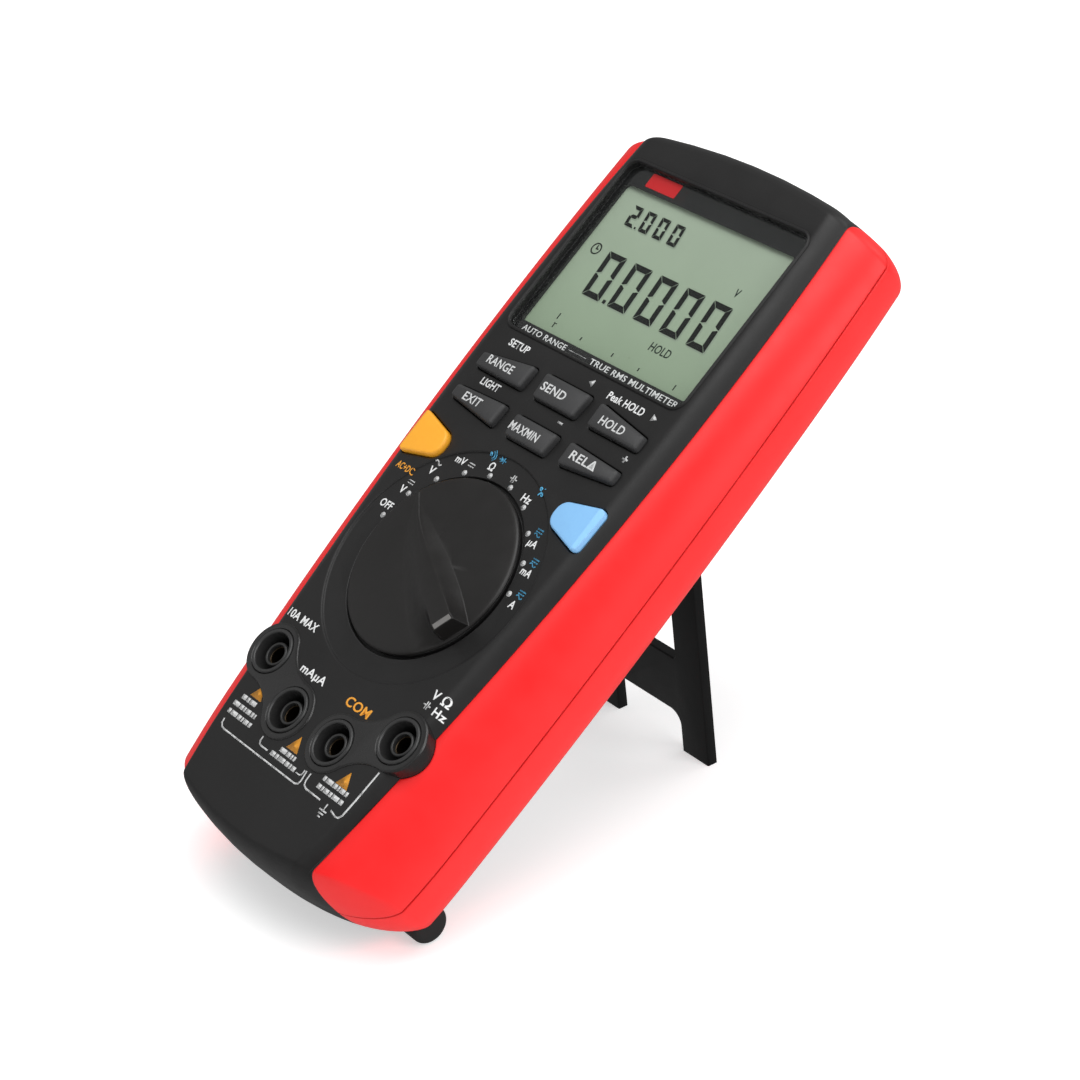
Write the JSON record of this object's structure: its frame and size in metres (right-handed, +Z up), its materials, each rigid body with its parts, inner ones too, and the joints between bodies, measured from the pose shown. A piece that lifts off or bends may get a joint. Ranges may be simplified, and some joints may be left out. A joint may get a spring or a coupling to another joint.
{
  "type": "handheld digital multimeter on tilt stand",
  "caption": "Handheld digital multimeter leaning back on its open tilt stand, with display, soft keys, rotary range switch and shrouded test lead sockets.",
  "frame": {"origin": "on the bench under the middle of the standing meter: centre of the footprint box, z = 0 on the bench", "axes": "+X to the right seen from the front, +Y towards the rear of the meter (the face leans back towards +Y), +Z up"},
  "size_m": [0.085, 0.1532, 0.126],
  "materials": {
    "case_dark": "fine matte texture",
    "grip_red": "soft matte overmoulded elastomer",
    "screw_steel": "zinc plated",
    "foot_rubber": "matte",
    "lens_clear": "clear acrylic, gloss",
    "lcd_grey": "reflective liquid crystal panel",
    "holder_white": "moulded",
    "silicone_grey": "matte silicone",
    "board_green": "solder mask",
    "knob_black": "satin",
    "contact_spring": "plated spring strip",
    "contact_brass": "plated, satin",
    "key_grey": "matte silicone",
    "key_amber": "matte silicone",
    "key_blue": "matte silicone",
    "sleeve_dark": "satin",
    "fuse_body": null,
    "battery_wrap": "printed metal jacket",
    "snap_black": "satin",
    "chip_black": "moulded epoxy",
    "can_steel": "satin",
    "varistor_blue": "epoxy coated",
    "thermistor_tan": "coated disc",
    "shunt_copper": "bare wire",
    "cap_blue": "sleeved can",
    "ir_dark": "tinted lens",
    "ir_window": "dark red window"
  },
  "bodies": {
    "meter": {"front_shell": "case_dark", "front_grip_left": "grip_red", "front_grip_right": "grip_red", "rear_shell": "case_dark", "rear_grip_left": "grip_red", "rear_grip_right": "grip_red", "battery_door": "case_dark", "door_screw": "screw_steel", "case_screws": "screw_steel", "rubber_feet": "foot_rubber", "lcd_lens": "lens_clear", "lcd_holder": "holder_white", "lcd_glass": "lcd_grey", "zebra_strips": "silicone_grey", "backlight_panel": "holder_white", "main_board": "board_green", "jack_board": "board_green", "keypad_membrane": "silicone_grey", "jack_sleeve_amp": "sleeve_dark", "jack_sleeve_milliamp": "sleeve_dark", "jack_sleeve_common": "sleeve_dark", "jack_sleeve_volt": "sleeve_dark", "jack_contact_amp": "contact_brass", "jack_contact_milliamp": "contact_brass", "jack_contact_common": "contact_brass", "jack_contact_volt": "contact_brass", "fuse_amp": "fuse_body", "fuse_milliamp": "fuse_body", "fuse_clips": "contact_spring", "battery_9v": "battery_wrap", "battery_snap": "snap_black", "battery_leads": "snap_black", "buzzer": "snap_black", "measuring_chip": "chip_black", "controller_chip": "chip_black", "crystal": "can_steel", "surge_varistors": "varistor_blue", "input_thermistor": "thermistor_tan", "current_shunt": "shunt_copper", "filter_capacitors": "cap_blue", "board_screws": "screw_steel", "infrared_emitter": "ir_dark", "infrared_window": "ir_window"},
    "dial": {"dial_knob": "knob_black", "switch_rotor": "holder_white", "wiper_contacts": "contact_spring", "rotor_screw": "screw_steel"},
    "stand": {"tilt_stand": "knob_black"},
    "key_range": {"key_range": "key_grey"},
    "key_send": {"key_send": "key_grey"},
    "key_hold": {"key_hold": "key_grey"},
    "key_exit": {"key_exit": "key_grey"},
    "key_maxmin": {"key_maxmin": "key_grey"},
    "key_rel": {"key_rel": "key_grey"},
    "key_amber": {"key_amber": "key_amber"},
    "key_blue": {"key_blue": "key_blue"}
  },
  "joints": [
    {"name": "dial_turn", "type": "hinge", "parent": "meter", "child": "dial", "pos_m": [0, -0.02299, 0.06343], "axis": [0, -0.5934, 0.8049], "range_deg": [-144, 18]},
    {"name": "stand_fold", "type": "hinge", "parent": "meter", "child": "stand", "pos_m": [0, 0.0288, 0.06817], "axis": [1, 0, 0], "range_deg": [-54.22, 0]},
    {"name": "key_range_press", "type": "slide", "parent": "meter", "child": "key_range", "axis": [0, 0.5934, -0.8049], "range_m": [0, 0.001], "stiffness_N_per_m": 500, "springref_m": -0.0005},
    {"name": "key_send_press", "type": "slide", "parent": "meter", "child": "key_send", "axis": [0, 0.5934, -0.8049], "range_m": [0, 0.001], "stiffness_N_per_m": 500, "springref_m": -0.0005},
    {"name": "key_hold_press", "type": "slide", "parent": "meter", "child": "key_hold", "axis": [0, 0.5934, -0.8049], "range_m": [0, 0.001], "stiffness_N_per_m": 500, "springref_m": -0.0005},
    {"name": "key_exit_press", "type": "slide", "parent": "meter", "child": "key_exit", "axis": [0, 0.5934, -0.8049], "range_m": [0, 0.001], "stiffness_N_per_m": 500, "springref_m": -0.0005},
    {"name": "key_maxmin_press", "type": "slide", "parent": "meter", "child": "key_maxmin", "axis": [0, 0.5934, -0.8049], "range_m": [0, 0.001], "stiffness_N_per_m": 500, "springref_m": -0.0005},
    {"name": "key_rel_press", "type": "slide", "parent": "meter", "child": "key_rel", "axis": [0, 0.5934, -0.8049], "range_m": [0, 0.001], "stiffness_N_per_m": 500, "springref_m": -0.0005},
    {"name": "key_amber_press", "type": "slide", "parent": "meter", "child": "key_amber", "axis": [0, 0.5934, -0.8049], "range_m": [0, 0.001], "stiffness_N_per_m": 500, "springref_m": -0.0005},
    {"name": "key_blue_press", "type": "slide", "parent": "meter", "child": "key_blue", "axis": [0, 0.5934, -0.8049], "range_m": [0, 0.001], "stiffness_N_per_m": 500, "springref_m": -0.0005}
  ]
}
